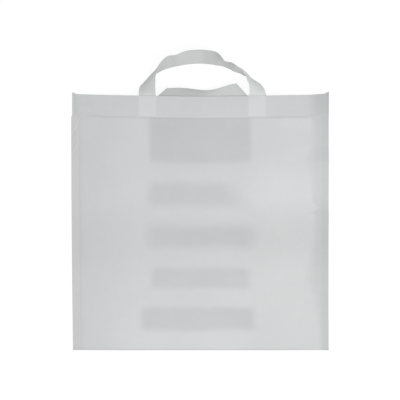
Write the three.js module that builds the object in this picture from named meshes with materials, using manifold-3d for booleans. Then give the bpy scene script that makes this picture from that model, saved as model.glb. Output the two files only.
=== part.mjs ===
// A non-woven carrier bag for flat boxes, empty and lying on its back panel.
// One web, folded at the bottom and welded along both sides, makes the bag. Its mouth is hemmed,
// and a flat strip welded inside each hem makes a loop handle.
// Millimetres. +X is the bag's right, +Y runs from the bottom fold to the mouth, +Z is up.
// The origin is the middle of the back panel, on the surface that the bag lies on.

import * as THREE from 'three';
import { mergeVertices } from 'three/addons/utils/BufferGeometryUtils.js';
import Module from 'manifold-3d';

const { clamp, degToRad, lerp, smoothstep } = THREE.MathUtils;

// The web of the bag
const BAG_WIDTH = 450;
const BAG_LENGTH = 452;
const SHEET = 0.5;
const SIDE_WELD = 11;
const HEM_DEPTH = 37;
const HEM_WELD_WIDTH = 4;
const HEM_WELD_DEPTH = 0.25;
const MOUTH_DIP = 7;
const DIP_POWER = 0.4;

// How far the empty bag stands open, measured over its outside
const FOLD_HEIGHT = 7;
const BELLY_HEIGHT = 16;
const MOUTH_HEIGHT = 14;
const LEFT_SLOPE = 95;
const RIGHT_SLOPE = 80;
const BELLY_FROM = 0.5;
const BELLY_TO = 0.6;
const SEAM_GAP = 0.3;

// The right side lies closed and curls up from the floor, more towards the mouth
const CURL_WIDTH = 29;
const CURL_AT_FOLD = 5;
const CURL_AT_MOUTH = 14;
const CURL_POWER = 1.7;

// The handle strips
const STRIP_WIDTH = 30;
const STRIP_THICKNESS = 0.8;
const LEG_SPACING = 192;
const LEG_OFFSET = 3;
const LEG_MARGIN = 3;
const WELD_GAP = 0.3;

// The front handle lies past the mouth, turned over in a half twist above each leg
const LOOP_REACH = 68;
const LOOP_DESCENT = 30;
const FLOOR_GAP = 0.2;
const LOOP_SHAPE = [
  { across: -1, reach: 0, tilt: 0 },
  { across: -1, reach: 0.2, tilt: 26 },
  { across: -0.97, reach: 0.35, tilt: 45 },
  { across: -0.9, reach: 0.49, tilt: 70 },
  { across: -0.83, reach: 0.59, tilt: 90 },
  { across: -0.74, reach: 0.74, tilt: 110 },
  { across: -0.6, reach: 0.86, tilt: 127 },
  { across: -0.29, reach: 0.98, tilt: 136 },
  { across: 0, reach: 1, tilt: 138 },
  { across: 0.25, reach: 0.95, tilt: 134 },
  { across: 0.4, reach: 0.83, tilt: 108 },
  { across: 0.52, reach: 0.76, tilt: 105 },
  { across: 0.72, reach: 0.59, tilt: 96 },
  { across: 0.87, reach: 0.41, tilt: 72 },
  { across: 0.95, reach: 0.3, tilt: 51 },
  { across: 0.99, reach: 0.17, tilt: 30 },
  { across: 1, reach: 0, tilt: 0 },
];

// The back handle has slumped into the mouth, with a pleat in each leg and a slanted fold at each end.
// The places are those of its folds: across in shares of half the leg spacing, past the mouth in mm.
const BACK_FOLDS = [
  { across: -1, past: -9 },
  { across: -1.01, past: -25 },
  { across: -0.85, past: -2.5 },
  { across: 0.775, past: 5 },
  { across: 0.72, past: -23 },
  { across: 0.985, past: -9 },
];
const CROSSING_INDEX = 3;
const LAYER_GAP = 0.4;
const CROSSING_SAG = 7;
const CROSSING_TIP = 4;
const CROSSING_FALL_FROM = 0.22;
const CROSSING_FALL_TO = 0.45;

// Fineness of the facets
const FOLD_STEPS = 3;
const FOLD_START = degToRad(15);
const SLOPE_STEPS = 5;
const CROWN_STEPS = 6;
const CURL_STEPS = 4;
const PANEL_STEPS = 8;
const STRIP_COLUMNS = 4;
const LEG_STEPS = 3;
const LOOP_STEPS = 65;
const ROLL_STEPS = 4;
const FLAT_STEPS = 2;
const CROSSING_STEPS = 16;

// Places that follow from the sizes
const halfWidth = BAG_WIDTH / 2;
const pocketLeft = SIDE_WELD - halfWidth;
const pocketRight = halfWidth - CURL_WIDTH;
const crownLeft = pocketLeft + LEFT_SLOPE;
const crownRight = pocketRight - RIGHT_SLOPE;
const bottomY = -BAG_LENGTH / 2;
const sideSeamHeight = 2 * SHEET;
const hemWall = 2 * SHEET;
const legHalfSpacing = LEG_SPACING / 2;
const stripHalf = STRIP_WIDTH / 2;
const legTopY = mouthY(legHalfSpacing);

const wasm = await Module();
wasm.setup();

// The mouth's edge dips from its corners towards the middle.
function mouthY(x) {
  const fromCorner = 1 - Math.abs(x) / halfWidth;
  return bottomY + BAG_LENGTH - MOUTH_DIP * Math.pow(fromCorner, DIP_POWER);
}

// The turned-in hem ends at the same depth below the mouth's edge all the way across.
function hemY(x) {
  return mouthY(x) - HEM_DEPTH;
}

// Outside height along the bag's middle: low at the fold, highest at the belly, lower at the mouth.
function crownHeight(y) {
  const along = (y - bottomY) / BAG_LENGTH;
  const belly = lerp(FOLD_HEIGHT, BELLY_HEIGHT, smoothstep(along, 0, BELLY_FROM));
  return lerp(belly, MOUTH_HEIGHT, smoothstep(along, BELLY_TO, 1));
}

// The front panel climbs along a quarter of a wave from the left weld and from where the right side closes.
function frontHeight(x, y) {
  const left = clamp((x - pocketLeft) / LEFT_SLOPE, 0, 1);
  const right = clamp((pocketRight - x) / RIGHT_SLOPE, 0, 1);
  const climb = Math.sin((Math.min(left, right) * Math.PI) / 2);
  return lerp(sideSeamHeight, crownHeight(y), climb);
}

// Both layers of the right side rise together by a power of the share of the way to its edge.
function curlHeight(x, y) {
  const out = clamp((x - pocketRight) / CURL_WIDTH, 0, 1);
  const along = (y - bottomY) / BAG_LENGTH;
  return lerp(CURL_AT_FOLD, CURL_AT_MOUTH, along) * Math.pow(out, CURL_POWER);
}

// A row round the bottom fold, where the web runs along a half circle as high as the fold.
function foldRow(angle, inset) {
  return (x, side) => {
    const outside = frontHeight(x, bottomY) / 2;
    const radius = Math.max(outside - inset, SEAM_GAP / 2);
    const middle = outside + curlHeight(x, bottomY);
    return [bottomY + outside - radius * Math.cos(angle), middle + side * radius * Math.sin(angle)];
  };
}

// A row across the front and back panels, set in from their outside by the wall.
function panelRow(placeY, inset) {
  return (x, side) => {
    const y = placeY(x);
    const outside = frontHeight(x, y) / 2;
    const half = Math.max(outside - inset, SEAM_GAP / 2);
    return [y, outside + curlHeight(x, y) + side * half];
  };
}

// Rows from the bottom fold to just below the hem.
function lowerRows(inset) {
  const rows = [];
  for (let step = 0; step <= FOLD_STEPS; step++) {
    rows.push(foldRow(lerp(FOLD_START, Math.PI / 2, step / FOLD_STEPS), inset));
  }
  for (let step = 1; step <= PANEL_STEPS; step++) {
    const share = step / PANEL_STEPS;
    const foldEnd = (x) => bottomY + frontHeight(x, bottomY) / 2;
    const hemEdge = (x) => hemY(x) - HEM_WELD_WIDTH / 2;
    rows.push(panelRow((x) => lerp(foldEnd(x), hemEdge(x), share), inset));
  }
  return rows;
}

// Evenly spaced places from one to another, without the first.
function evenSteps(from, to, steps) {
  return Array.from({ length: steps }, (_, i) => lerp(from, to, (i + 1) / steps));
}

// Columns across the bag: given ones at its sides, and between them those of both slopes and the crown.
function columnsAcross(leftColumns, rightColumns) {
  return [
    ...leftColumns,
    ...evenSteps(pocketLeft, crownLeft, SLOPE_STEPS),
    ...evenSteps(crownLeft, crownRight, CROWN_STEPS),
    ...evenSteps(crownRight, pocketRight, SLOPE_STEPS).slice(0, -1),
    ...rightColumns,
  ];
}

// A closed slab of columns by rows whose corners are placed one by one; side is +1 above and -1 below.
function placedSlab(columnCount, rowCount, place) {
  const columns = columnCount - 1;
  const rows = rowCount - 1;
  const box = new THREE.BoxGeometry(columns, rows, 2, columns, rows, 1);
  box.deleteAttribute('normal');
  box.deleteAttribute('uv');
  const slab = mergeVertices(box);
  const position = slab.attributes.position;
  for (let i = 0; i < position.count; i++) {
    const column = Math.round(position.getX(i) + columns / 2);
    const row = Math.round(position.getY(i) + rows / 2);
    position.setXYZ(i, ...place(column, row, Math.sign(position.getZ(i))));
  }
  return slab;
}

function bagSlab(columns, rows) {
  return placedSlab(columns.length, rows.length, (column, row, side) => {
    const x = columns[column];
    return [x, ...rows[row](x, side)];
  });
}

function solidFrom(geometry) {
  return new wasm.Manifold(
    new wasm.Mesh({
      numProp: 3,
      vertProperties: new Float32Array(geometry.attributes.position.array),
      triVerts: new Uint32Array(geometry.index.array),
    }),
  );
}

function geometryFrom(solid) {
  const { vertProperties, triVerts } = solid.getMesh();
  const geometry = new THREE.BufferGeometry();
  geometry.setAttribute('position', new THREE.BufferAttribute(vertProperties, 3));
  geometry.setIndex(new THREE.BufferAttribute(triVerts, 1));
  return geometry;
}

// The bag is its outside less the pocket, which is open at the mouth and narrower inside the hem.
function bagGeometry() {
  const curlColumns = [pocketRight, ...evenSteps(pocketRight, halfWidth, CURL_STEPS)];
  const outside = bagSlab(columnsAcross([-halfWidth, pocketLeft], curlColumns), [
    ...lowerRows(0),
    panelRow(hemY, HEM_WELD_DEPTH),
    panelRow((x) => hemY(x) + HEM_WELD_WIDTH / 2, 0),
    panelRow(mouthY, 0),
  ]);
  const pocket = bagSlab(columnsAcross([pocketLeft + SHEET], [pocketRight - SHEET]), [
    ...lowerRows(SHEET),
    panelRow((x) => hemY(x) - HEM_WELD_WIDTH / 2 + SHEET, hemWall),
    panelRow(mouthY, hemWall),
    panelRow((x) => mouthY(x) + HEM_DEPTH, hemWall),
  ]);
  return geometryFrom(solidFrom(outside).subtract(solidFrom(pocket)));
}

// A closed flat strip through rows of two edge points, with its thickness shared between both faces.
function stripGeometry(rows) {
  const middles = rows.map(([left, right]) => left.clone().lerp(right, 0.5));
  const normals = rows.map(([left, right], i) => {
    const ahead = middles[Math.min(i + 1, rows.length - 1)];
    const behind = middles[Math.max(i - 1, 0)];
    const across = right.clone().sub(left);
    return across.cross(ahead.clone().sub(behind)).normalize();
  });
  return placedSlab(STRIP_COLUMNS + 1, rows.length, (column, row, side) => {
    const [left, right] = rows[row];
    const place = left.clone().lerp(right, column / STRIP_COLUMNS);
    return place.addScaledVector(normals[row], (side * STRIP_THICKNESS) / 2).toArray();
  });
}

// Height of the middle of a front leg where it lies welded under the front hem.
function frontLegZ(x, y) {
  return frontHeight(x, y) - hemWall - WELD_GAP - STRIP_THICKNESS / 2;
}

// Rows of one front leg inside the hem, from its lower end up to the mouth.
function frontLegRows(legX) {
  const rows = [];
  for (let step = 0; step < LEG_STEPS; step++) {
    const y = lerp(legTopY - HEM_DEPTH + LEG_MARGIN, legTopY, step / LEG_STEPS);
    rows.push([-stripHalf, stripHalf].map((offset) => {
      const x = legX + offset;
      return new THREE.Vector3(x, y, frontLegZ(x, y));
    }));
  }
  return rows;
}

// Rows of the loop past the mouth. The outer edge of both legs comes down to the floor, passes under the
// strip where it turns over, and is the inner edge of the loop. The other edge stays raised.
function loopRows() {
  const shape = new THREE.CatmullRomCurve3(
    LOOP_SHAPE.map(({ across, reach, tilt }) => new THREE.Vector3(across, reach, degToRad(tilt))),
    false,
    'catmullrom',
  );
  const stations = shape.getPoints(LOOP_STEPS).map(({ x, y, z }) => ({
    x: LEG_OFFSET + x * legHalfSpacing,
    y: legTopY + y * LOOP_REACH,
    past: y * LOOP_REACH,
    tilt: z,
  }));
  const restZ = FLOOR_GAP + STRIP_THICKNESS / 2;
  return stations.map(({ x, y, past, tilt }, i) => {
    const ahead = stations[Math.min(i + 1, LOOP_STEPS)];
    const behind = stations[Math.max(i - 1, 0)];
    const descent = 1 - smoothstep(past, 0, LOOP_DESCENT);
    const squareToMouth = new THREE.Vector2(Math.sign(x - LEG_OFFSET), 0);
    const outward = new THREE.Vector2(behind.y - ahead.y, ahead.x - behind.x).normalize();
    outward.lerp(squareToMouth, descent).normalize();
    const z = restZ + stripHalf * Math.sin(tilt) + (frontLegZ(x, legTopY) - restZ) * descent;
    const flat = stripHalf * Math.cos(tilt);
    const drop = stripHalf * Math.sin(tilt);
    return [
      new THREE.Vector3(x + outward.x * flat, y + outward.y * flat, z - drop),
      new THREE.Vector3(x - outward.x * flat, y - outward.y * flat, z + drop),
    ];
  });
}

function frontHandleGeometry() {
  const leftLeg = frontLegRows(LEG_OFFSET - legHalfSpacing);
  const rightLeg = frontLegRows(LEG_OFFSET + legHalfSpacing).map(([left, right]) => [right, left]);
  return stripGeometry([...leftLeg, ...loopRows(), ...rightLeg.reverse()]);
}

// The crossing of the back handle sags: in plan towards the bag, and its lower edge onto the back hem.
function crossingRow([lower, upper], share, restZ) {
  const inward = Math.min(share, 1 - share);
  const fall = smoothstep(inward, CROSSING_FALL_FROM, CROSSING_FALL_TO);
  const sag = CROSSING_SAG * Math.sin(share * Math.PI);
  return [
    new THREE.Vector3(lower.x, lower.y - sag, lerp(lower.z, restZ, fall)),
    new THREE.Vector3(upper.x, upper.y - sag, lerp(upper.z, restZ + CROSSING_TIP, fall)),
  ];
}

// The back strip lies folded flat along a route in plan. Each fold is a mirror line between the two
// directions that meet there, and the strip rolls round it from one layer to the next.
function backHandleGeometry() {
  const restZ = hemWall + WELD_GAP + STRIP_THICKNESS / 2;
  const rollRadius = (STRIP_THICKNESS + LAYER_GAP) / 2;
  const legEnd = (across) => ({ across, past: LEG_MARGIN - HEM_DEPTH });
  const route = [legEnd(-1), ...BACK_FOLDS, legEnd(1)].map(
    ({ across, past }) => new THREE.Vector2(LEG_OFFSET + across * legHalfSpacing, legTopY + past),
  );
  const headings = route.slice(1).map((point, i) => point.clone().sub(route[i]).normalize());
  const rows = [];

  // The two edge points of a row along a line through a point of the route.
  const rowAlong = (point, line, reach, z) =>
    [1, -1].map((edge) => {
      const place = point.clone().addScaledVector(line, edge * reach);
      return new THREE.Vector3(place.x, place.y, z);
    });
  const squareRow = (point, heading, z) =>
    rowAlong(point, new THREE.Vector2(-heading.y, heading.x), stripHalf, z);

  // A flat stretch from the last row to the next, both already placed.
  const addStretch = (next, steps, bend) => {
    const last = rows[rows.length - 1];
    for (let step = 1; step <= steps; step++) {
      const share = step / steps;
      const row = last.map((corner, edge) => corner.clone().lerp(next[edge], share));
      rows.push(bend ? bend(row, share) : row);
    }
  };

  let z = restZ;
  let face = 1;
  rows.push(squareRow(route[0], headings[0], z));
  for (let fold = 1; fold <= headings.length; fold++) {
    const heading = headings[fold - 1];
    const crossing = fold === CROSSING_INDEX + 1;
    const steps = crossing ? CROSSING_STEPS : FLAT_STEPS;
    const bend = crossing ? (row, share) => crossingRow(row, share, restZ) : null;
    if (fold === headings.length) {
      addStretch(squareRow(route[fold], heading, z), steps, bend);
      break;
    }
    const mirror = heading.clone().add(headings[fold]).normalize();
    const outward = heading.clone().sub(headings[fold]).normalize();
    const reach = (face * stripHalf) / (heading.x * mirror.y - heading.y * mirror.x);
    addStretch(rowAlong(route[fold], mirror, reach, z), steps, bend);
    const rise = fold <= CROSSING_INDEX ? rollRadius : -rollRadius;
    for (let step = 1; step <= ROLL_STEPS; step++) {
      const turn = (Math.PI * step) / ROLL_STEPS;
      const place = route[fold].clone().addScaledVector(outward, rollRadius * Math.sin(turn));
      rows.push(rowAlong(place, mirror, reach, z + rise * (1 - Math.cos(turn))));
    }
    z += 2 * rise;
    face = -face;
  }
  return stripGeometry(rows);
}

// Pale grey spunbond, a little lighter where the strips are doubled
const bagMaterial = new THREE.MeshStandardMaterial({ color: 0xcfd1d2, roughness: 0.85, metalness: 0 });
const stripMaterial = new THREE.MeshStandardMaterial({ color: 0xd2d4d5, roughness: 0.85, metalness: 0 });

function namedMesh(name, geometry, material) {
  geometry.computeVertexNormals();
  const mesh = new THREE.Mesh(geometry, material);
  mesh.name = name;
  return mesh;
}

const bag = new THREE.Group();
bag.name = 'pizza_bag';
bag.add(
  namedMesh('bag_body', bagGeometry(), bagMaterial),
  namedMesh('front_handle', frontHandleGeometry(), stripMaterial),
  namedMesh('back_handle', backHandleGeometry(), stripMaterial.clone()),
);

export default bag;
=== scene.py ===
"""Looks of an empty non-woven carrier bag for flat boxes, lying on its back.

The bag is one web of spunbond cloth, folded at the bottom and welded along both sides, with a hemmed
mouth. A flat strip welded inside each hem makes a loop handle. Every piece is a cloth: a middle surface
worked out on a grid, and thickened along its normals into a closed shell.
Metres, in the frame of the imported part: +X is the bag's right, +Y runs from the bottom fold to the mouth
and +Z is up. The tables of places are in millimetres.
"""

import logging
import math
from collections.abc import Callable
from dataclasses import dataclass, field
from enum import Enum

import bpy
import numpy as np
from bpy.types import Material, Node, NodeSocket, NodeTree, Object
from numpy.typing import NDArray
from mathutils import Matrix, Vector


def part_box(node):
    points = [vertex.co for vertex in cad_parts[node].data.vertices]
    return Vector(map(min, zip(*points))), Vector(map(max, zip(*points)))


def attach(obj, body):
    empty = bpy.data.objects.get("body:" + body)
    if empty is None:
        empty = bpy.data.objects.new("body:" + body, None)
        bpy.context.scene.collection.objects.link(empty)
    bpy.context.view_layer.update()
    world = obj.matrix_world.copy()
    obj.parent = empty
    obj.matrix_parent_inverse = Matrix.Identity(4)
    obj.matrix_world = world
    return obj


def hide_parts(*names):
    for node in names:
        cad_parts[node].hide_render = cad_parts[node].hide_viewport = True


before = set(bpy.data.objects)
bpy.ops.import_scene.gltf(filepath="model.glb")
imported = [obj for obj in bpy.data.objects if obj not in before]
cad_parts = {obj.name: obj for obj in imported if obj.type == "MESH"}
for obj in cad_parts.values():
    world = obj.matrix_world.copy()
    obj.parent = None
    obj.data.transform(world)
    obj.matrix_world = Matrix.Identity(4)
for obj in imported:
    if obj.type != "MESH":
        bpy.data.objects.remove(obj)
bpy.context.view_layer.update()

Array = NDArray[np.float64]
Pair = tuple[float, float]
Rgb = tuple[float, float, float]
Table = tuple[tuple[float, ...], ...]

LOG = logging.getLogger("carrier_bag")
MM = 0.001
BODY = "root"
FLAT_MAP = "flat_cloth"
RIM_ANGLE = math.radians(50)
DENSITY_STEPS = 4000
NOISE_MIDDLE = 0.5
# Past every edge of a cloth, in millimetres and in metres.
FAR = 1000
FAR_OFF = FAR * MM


class Slot(Enum):
    """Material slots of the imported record."""

    BAG = "bag_cloth"
    STRIP = "strip_cloth"


class Held(Enum):
    """Ways in which a cloth is held."""

    FOLDED = "folded"
    LAID = "laid"


class Mark(Enum):
    """Values that a cloth keeps on its vertices for its finish."""

    DEPTH = "depth_below_mouth"
    FRONT = "front_outside"
    SHADE = "curl_shade"


class Socket(Enum):
    """Kinds of socket on a node group."""

    NUMBER = "NodeSocketFloat"
    VECTOR = "NodeSocketVector"


def eased(share: Array | float) -> Array:
    """Ease from 0 to 1: three squares less two cubes of the share, held between 0 and 1."""
    held = np.clip(share, 0.0, 1.0)
    return held * held * (3.0 - 2.0 * held)


def rising(distance: Array, soft: Array | float) -> Array:
    """Ease from 0 to 1 over the soft width about where the distance is 0."""
    return eased(distance / soft + 0.5)


def quarter_wave(share: Array) -> Array:
    """The first quarter of a sine wave, from 0 to 1, over shares from 0 to 1."""
    return np.sin(np.clip(share, 0.0, 1.0) * math.pi / 2)


def between(start: Array | float, end: Array | float, share: Array | float) -> Array:
    """The value that lies the given share of the way from start to end."""
    return start + (end - start) * share


def hump(place: Array, middle: float, spread: float) -> Array:
    """A bell curve of height 1: e to the minus square of the distance from the middle over the spread."""
    return np.exp(-(((place - middle) / spread) ** 2))


def plateau(place: Array, low: float, high: float, soft: float) -> Array:
    """1 from low to high, easing to 0 over the soft width about each of them."""
    return rising(place - low, soft) * rising(high - place, soft)


def read_off(table: Table, place: Array) -> Array:
    """The second value of a table in millimetres at each place, on straight lines between its rows."""
    return np.interp(place, *(np.array(table) * MM).T)


def steps(count: int) -> Array:
    """Even shares that end at 1 and leave out 0, for rows of edge points."""
    return np.linspace(0.0, 1.0, count + 1)[1:, None, None]


def run_along(points: Array) -> Array:
    """Way along a line of points to each of them: the running sum of the distances between them."""
    return np.concatenate([[0.0], np.cumsum(np.linalg.norm(np.diff(points, axis=0), axis=-1))])


def crowded(place: Array, crowds: list[tuple[float, float, float]]) -> Array:
    """1 plus a bell curve for each crowd, which gives its middle, spread and height."""
    return sum((gain * hump(place, middle, spread) for middle, spread, gain in crowds), start=1.0)


def spaced(low: float, high: float, count: int, density: Callable[[Array], Array]) -> Array:
    """Places along a line, closer together where the density is higher.

    The density's running sum is cut into equal shares, and each place is where a share ends.

    Args:
        low: First place.
        high: Last place.
        count: How many places.
        density: Density at each of an array of places.

    Returns:
        The places, from low to high.
    """
    fine = np.linspace(low, high, DENSITY_STEPS)
    weight = density(fine)
    total = np.concatenate([[0.0], np.cumsum((weight[1:] + weight[:-1]) / 2)])
    return np.interp(np.linspace(0.0, total[-1], count), total, fine)


def spline(points: Array, count: int) -> Array:
    """Even steps along a Catmull-Rom curve through points.

    On each stretch the curve is the cubic that passes through both ends with half the chord between the
    neighbours of an end as its direction there. Past the first and last point the chord is repeated.

    Args:
        points: The points, count by dimensions.
        count: How many steps to make over the whole curve.

    Returns:
        The places on the curve, one more than the steps, by dimensions.
    """
    padded = np.concatenate([[2 * points[0] - points[1]], points, [2 * points[-1] - points[-2]]])
    run = np.linspace(0.0, len(points) - 1.0, count + 1)
    stretch = np.minimum(run.astype(int), len(points) - 2)
    share = (run - stretch)[:, None]
    before, start, end, after = (padded[stretch + shift] for shift in range(4))
    leave, arrive = (end - before) / 2, (after - start) / 2
    cube = 2 * start - 2 * end + leave + arrive
    square = 3 * end - 3 * start - 2 * leave - arrive
    return start + share * (leave + share * (square + share * cube))


@dataclass
class ClothGrid:
    """A cloth's middle surface on a grid of rows and columns.

    Attributes:
        points: Places of the middle surface, rows by columns by 3.
        thickness: Thickness of the cloth, rows by columns.
        flat: Place on the flat cloth, across and along, rows by columns by 2.
        marks: For each mark, its values on the outer and on the inner face, rows by columns each.
    """

    points: Array
    thickness: Array
    flat: Array
    marks: dict[Mark, tuple[Array, Array]] = field(default_factory=dict)

    def normals(self) -> Array:
        """Unit normals: the step across the columns crossed with the step along the rows."""
        normal = np.cross(np.gradient(self.points, axis=1), np.gradient(self.points, axis=0))
        return normal / np.linalg.norm(normal, axis=-1, keepdims=True)

    def faces(self) -> NDArray[np.int32]:
        """Corner numbers of the shell's quads: the outer face, the inner face and the rim between them.

        Returns:
            Four corners for each quad. The inner face's corners follow those of the whole outer face.
        """
        rows, columns = self.thickness.shape
        index = np.arange(rows * columns, dtype=np.int32).reshape(rows, columns)
        corners = [index[:-1, :-1], index[:-1, 1:], index[1:, 1:], index[1:, :-1]]
        outer = np.stack(corners, axis=-1).reshape(-1, 4)
        border = np.concatenate([index[0, :-1], index[:-1, -1], index[-1, :0:-1], index[:0:-1, 0]])
        onward = np.roll(border, -1)
        rim = np.stack([onward, border, border + index.size, onward + index.size], axis=-1)
        return np.concatenate([outer, outer[:, ::-1] + index.size, rim])

    def mesh(self, name: str) -> bpy.types.Mesh:
        """Put the shell into a mesh, with the flat cloth as its UV map and the marks on its vertices.

        The outer face lies half a thickness out along the normals, and the inner face half a thickness in.

        Args:
            name: Name of the mesh.

        Returns:
            The closed mesh, smooth but for its rim.
        """
        offset = self.normals() * (self.thickness / 2)[..., None]
        both = np.stack([self.points + offset, self.points - offset]).reshape(-1, 3)
        faces = self.faces()
        mesh = bpy.data.meshes.new(name)
        mesh.vertices.add(len(both))
        mesh.vertices.foreach_set("co", both.astype(np.float32).ravel())
        mesh.loops.add(faces.size)
        mesh.loops.foreach_set("vertex_index", faces.ravel())
        mesh.polygons.add(len(faces))
        mesh.polygons.foreach_set("loop_start", np.arange(0, faces.size, 4, dtype=np.int32))
        mesh.polygons.foreach_set("use_smooth", np.ones(len(faces), dtype=bool))
        mesh.update(calc_edges=True)
        flat = np.tile(self.flat.reshape(-1, 2), (2, 1))
        corners = flat[faces.ravel()].astype(np.float32)
        mesh.uv_layers.new(name=FLAT_MAP).data.foreach_set("uv", corners.ravel())
        for mark, sides in self.marks.items():
            attribute = mesh.attributes.new(mark.value, "FLOAT", "POINT")
            attribute.data.foreach_set("value", np.stack(sides).astype(np.float32).ravel())
        mesh.set_sharp_from_angle(angle=RIM_ANGLE)
        return mesh


@dataclass(frozen=True)
class PieceLabel:
    """What a cloth piece is called, what it stands for and how it lies.

    Attributes:
        name: Name of the piece.
        node: CAD node that it stands for.
        slot: Material slot of the record.
        held: How the cloth is held.
        rests_on: Names of what it lies on or is fixed to.
    """

    name: str
    node: str
    slot: Slot
    held: Held
    rests_on: tuple[str, ...]


def add_object(name: str, data: bpy.types.ID) -> Object:
    """Add an object to the scene.

    Args:
        name: Its name.
        data: Its mesh, light or camera.

    Returns:
        The object, at the origin.
    """
    thing = bpy.data.objects.new(name, data)
    bpy.context.scene.collection.objects.link(thing)
    return thing


def add_cloth(label: PieceLabel, grid: ClothGrid, flat: Pair, material: Material) -> None:
    """Args:
        label: Its name, node, slot and lay.
        grid: Its middle surface.
        flat: Width and length to which the cloth was cut.
        material: Its finish.
    """
    piece = add_object(label.name, grid.mesh(label.name))
    piece.data.materials.append(material)
    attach(piece, BODY)
    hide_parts(label.node)
    list(label.rests_on)
    width, length, run = (size / MM for size in (*flat, grid.flat[-1, 0, 1]))
    LOG.info("%s: %d faces, cut %.0f x %.0f mm, %.0f mm along its middle",
             label.name, len(piece.data.polygons), width, length, run)


@dataclass
class BagWeb:
    """The bag itself: one web, folded at the bottom, welded at the sides and hemmed at the mouth.

    Along the web the grid runs from the end of the back hem up to the mouth, down the back panel, round the
    bottom fold, up the front panel and down the front hem. Across it runs from the left to the right.
    In its methods x holds places across the web and y places along the bag.
    """

    # The lying bag, the heights of its slack panel, and the shares of the length where its belly lies.
    half_width: float
    bottom_y: float
    length: float
    belly_height: float
    fold_height: float = 7 * MM
    mouth_height: float = 14 * MM
    belly_from: float = 0.5
    belly_to: float = 0.6

    # The cloth, the gaps between its layers and under them, and how many lie on each other at the sides.
    sheet: float = 0.45 * MM
    welded_sheet: float = 0.26 * MM
    layer_gap: float = 0.12 * MM
    floor_gap: float = 0.07 * MM
    panel_layers: int = 2
    hem_layers: int = 4

    # The hems with their puff and weld, and the edge of the mouth with its dip and its corner tabs.
    hem_depth: float = 38 * MM
    hem_overlap: float = 2 * MM
    hem_puff: float = 0.35 * MM
    weld_dent: float = 0.3 * MM
    weld_spread: float = 1.6 * MM
    mouth_dip: float = 7 * MM
    dip_power: float = 0.4
    tab_height: float = 1.6 * MM
    tab_soft: float = 1.2 * MM

    # The welded sides with their creases, the curl of the right side, the mark of an old fold, and the
    # painted shade of the curl with its beak.
    side_weld: float = 14 * MM
    hem_margin: float = 5.5 * MM
    margin_step: float = 4 * MM
    weld_soft: float = 1.6 * MM
    crease_dent: float = 0.3 * MM
    left_slope: float = 95 * MM
    right_slope: float = 80 * MM
    curl_share: float = 0.34
    curl_power: float = 1.7
    corner_share: float = 0.08
    corner_reach: float = 60 * MM
    kink_y: float = 21 * MM
    mark_dip: float = 1.8 * MM
    mark_spread: float = 55 * MM
    shade_soft: float = 15 * MM
    beak_soft: float = 3 * MM
    beak_spread: float = 26 * MM
    beak_shade: float = 1.5

    # The patches over the ends of the strips, the slack waves, and the puckers of the left margin.
    patch_relief: float = 0.35 * MM
    patch_soft: float = 3 * MM
    wave_height: float = 0.5 * MM
    pucker_height: float = 1.1 * MM
    pucker_pitch: float = 12 * MM
    pucker_slant: float = 2.0
    pucker_stray: float = 0.37
    pucker_y: float = 146 * MM
    pucker_reach: float = 34 * MM
    pucker_least: float = 0.12
    pucker_middle: float = 0.55
    pucker_spread: float = 0.4

    # The grid: where its columns crowd, and how many columns and rows there are.
    columns: int = 141
    side_from: float = 175 * MM
    side_run: float = 20 * MM
    side_crowd: float = 3.5
    patch_spread: float = 6 * MM
    patch_crowd: float = 1.5
    front_rows: int = 200
    back_rows: int = 48
    hem_rows: int = 12
    turn_rows: int = 7
    fold_rows: int = 13

    label: PieceLabel = PieceLabel("bag_web", "bag_body", Slot.BAG, Held.FOLDED, ("floor",))

    # Where the right side starts to curl up, as it wanders from the bottom to the mouth: y and x.
    right_crease: Table = (
        (-226, 209), (-198, 207), (-154, 200), (-119, 191), (-105, 181), (-81, 187), (-51, 192), (-23, 196),
        (4, 197), (13, 198), (22, 201), (29, 200), (47, 196), (77, 192), (105, 183), (130, 194), (168, 194),
        (182, 195), (192, 191), (226, 190),
    )
    # Where the shade painted on the curled side starts, with a beak at the old fold mark: y and x.
    shade_edge: Table = (
        (-226, 213), (-154, 208), (-119, 200), (-105, 194), (-81, 198), (-40, 203), (1, 204), (12, 202),
        (14.7, 191), (16.5, 197), (18.5, 201.5), (20.5, 206), (22.9, 210), (25.5, 208), (28.2, 204),
        (31.7, 199.5), (37, 196.5), (47, 197), (77, 198), (105, 196), (130, 202), (168, 202), (184, 198),
        (226, 198),
    )
    # How far each side edge lies outside its straight line, from the bottom to the mouth: y and distance.
    left_drift: Table = ((-226, -1.5), (-68, 0.3), (42, 1.2), (128, 1.4), (182, 1.5), (186, 0), (226, 0))
    right_drift: Table = (
        (-226, -0.9), (-191, -1.1), (-103, -1.8), (-40, -1.5), (14, -1), (30, -1.2), (226, -1.2),
    )
    # Long waves of the slack panel: share of the height, length across, length along and start of the turn.
    slack_waves: Table = ((1, 52, 95, 0.6), (0.8, -120, 31, 2.1), (0.5, 24, -60, 4.0))
    # How the front rows crowd about the kink, the puckers, the weld, the mouth and the fold: the spread, as a
    # share of the panel, and the height of the crowd.
    row_crowds: Table = ((0.03, 2), (0.08, 1), (0.012, 3), (0.01, 1.5), (0.02, 2))

    def edge_distance(self, x: Array) -> Array:
        """Distance from the nearer side edge of the web."""
        return self.half_width - np.abs(x)

    def mouth_y(self, x: Array | float) -> Array:
        """Edge of the mouth.

        It dips from the corners by a power of the distance from the nearer corner, and the welded corners
        stand up past it as small tabs.

        Args:
            x: Places across.

        Returns:
            The edge's y at each of them.
        """
        from_corner = self.edge_distance(x)
        dip = self.mouth_dip * (from_corner / self.half_width) ** self.dip_power
        tab = self.tab_height * rising(self.hem_margin - from_corner, self.tab_soft)
        return self.bottom_y + self.length - self.tab_height - dip + tab

    def depth(self, x: Array, y: Array) -> Array:
        """Depth below the mouth."""
        return self.mouth_y(x) - y

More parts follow.
